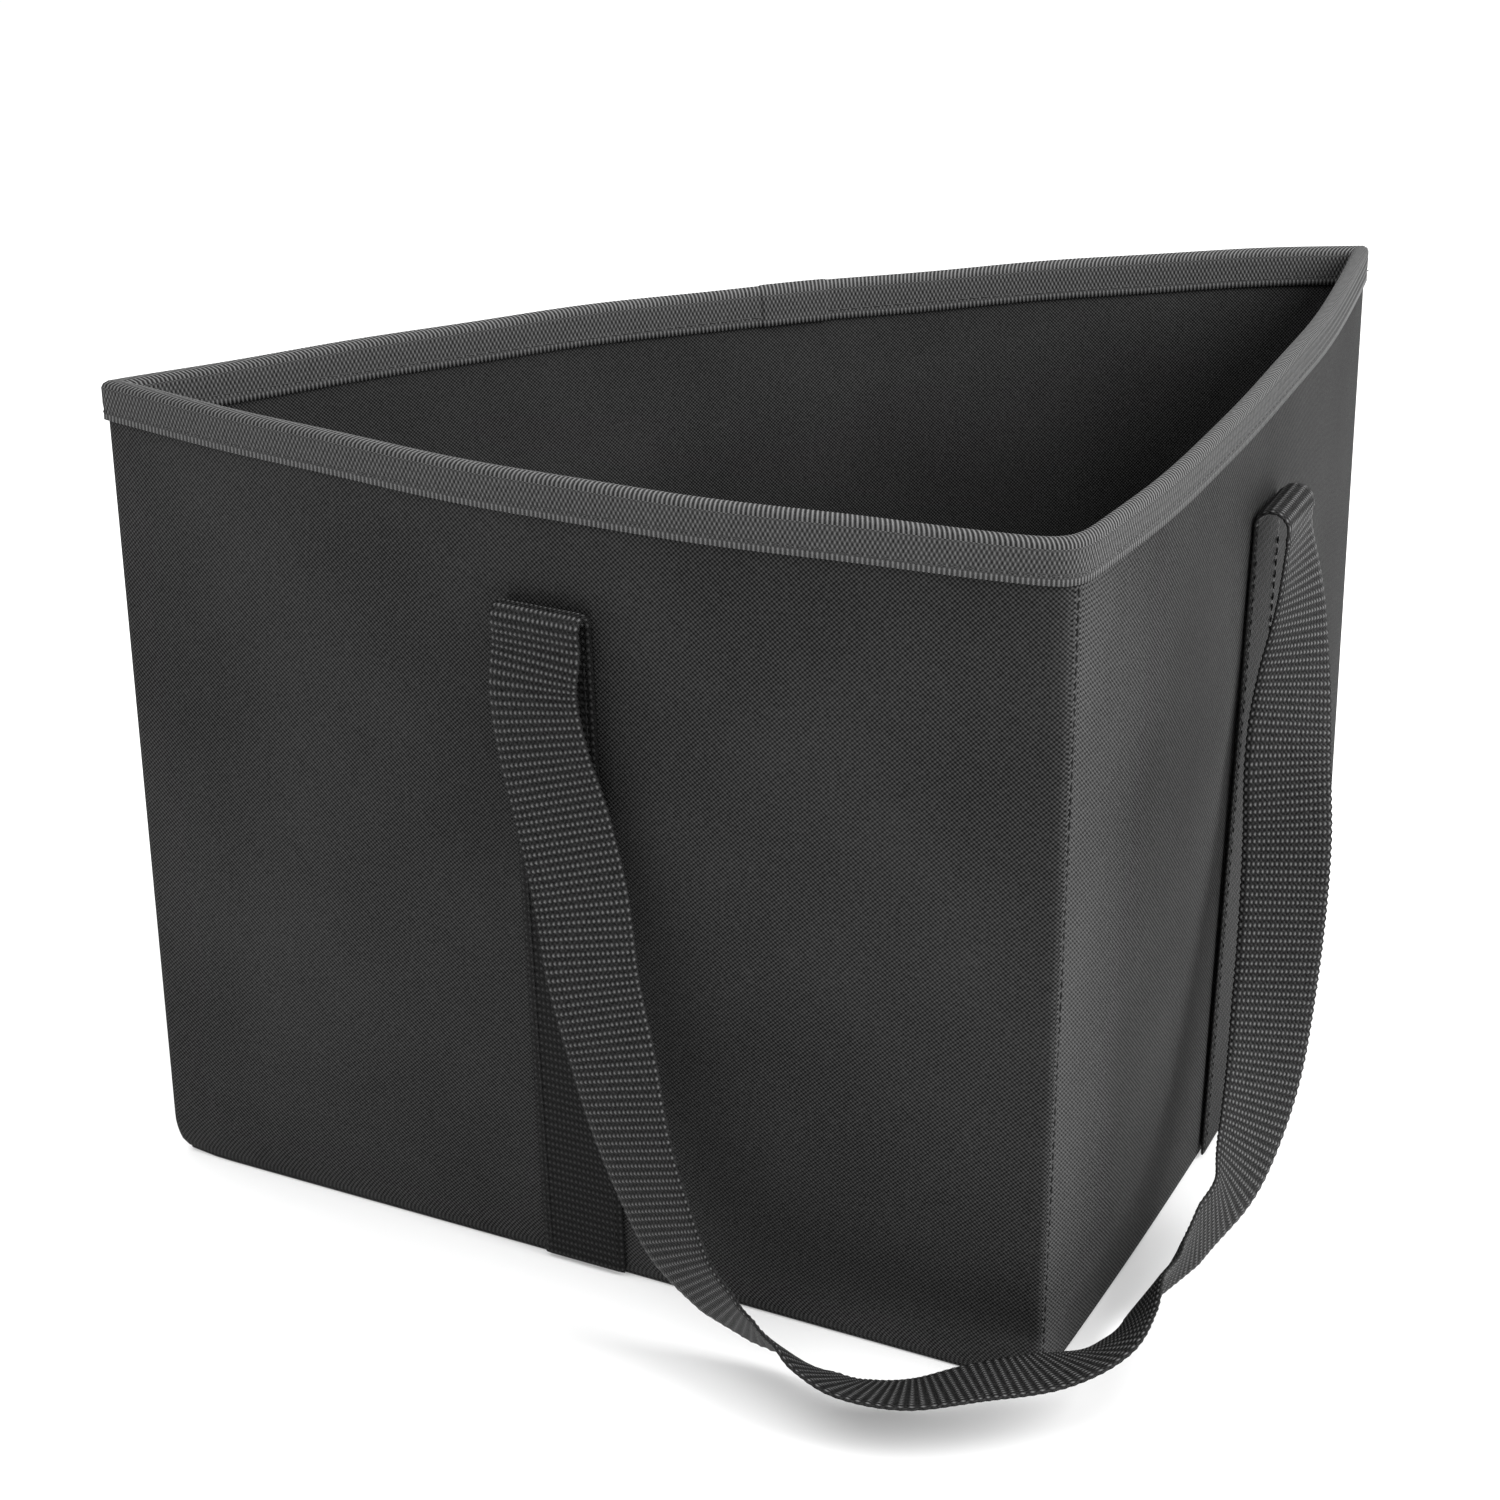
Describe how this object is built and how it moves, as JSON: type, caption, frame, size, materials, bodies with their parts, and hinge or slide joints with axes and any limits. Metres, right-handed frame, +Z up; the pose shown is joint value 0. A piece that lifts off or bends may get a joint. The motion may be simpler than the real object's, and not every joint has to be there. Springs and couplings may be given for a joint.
{
  "type": "handlebar basket",
  "caption": "Open-top fabric basket with a right-triangular plan, stiff walls, a taped rim and a free loop of webbing as its handle.",
  "frame": {"origin": "on the surface the basket stands on, under the middle of the basket's box without its free loop", "axes": "+Z up; the front wall runs along X and faces -Y, the side wall runs along Y and faces +X, the back wall closes the triangle"},
  "size_m": [0.306, 0.3127, 0.235],
  "materials": {
    "outer_cloth": "matt woven polyester, coated on the back",
    "lining_cloth": "matt plain cloth",
    "board": "matt sheet, hidden between the cloths",
    "tape": "ribbed woven binding tape",
    "webbing": "flat woven polypropylene webbing",
    "thread": "twisted polyester sewing thread"
  },
  "bodies": {
    "basket": {"front_outer_panel": "outer_cloth", "side_outer_panel": "outer_cloth", "back_outer_panel": "outer_cloth", "base_outer_panel": "outer_cloth", "front_stiffener": "board", "side_stiffener": "board", "back_stiffener": "board", "base_stiffener": "board", "front_lining": "lining_cloth", "side_lining": "lining_cloth", "back_lining": "lining_cloth", "base_lining": "lining_cloth", "rim_binding_tape": "tape", "rim_stitching": "thread", "front_corner_seam": "thread", "left_corner_seam": "thread", "rear_corner_seam": "thread", "base_lining_seam": "thread", "front_strap_run": "webbing", "side_strap_run": "webbing", "front_strap_stitching": "thread", "side_strap_stitching": "thread"},
    "handle": {"handle_loop": "webbing"}
  },
  "joints": [
    {"name": "handle_swing", "type": "hinge", "parent": "basket", "child": "handle", "pos_m": [0.07245, -0.07365, 0.198], "axis": [-0.7071, -0.7071, 0], "range_deg": [0, 150]}
  ]
}
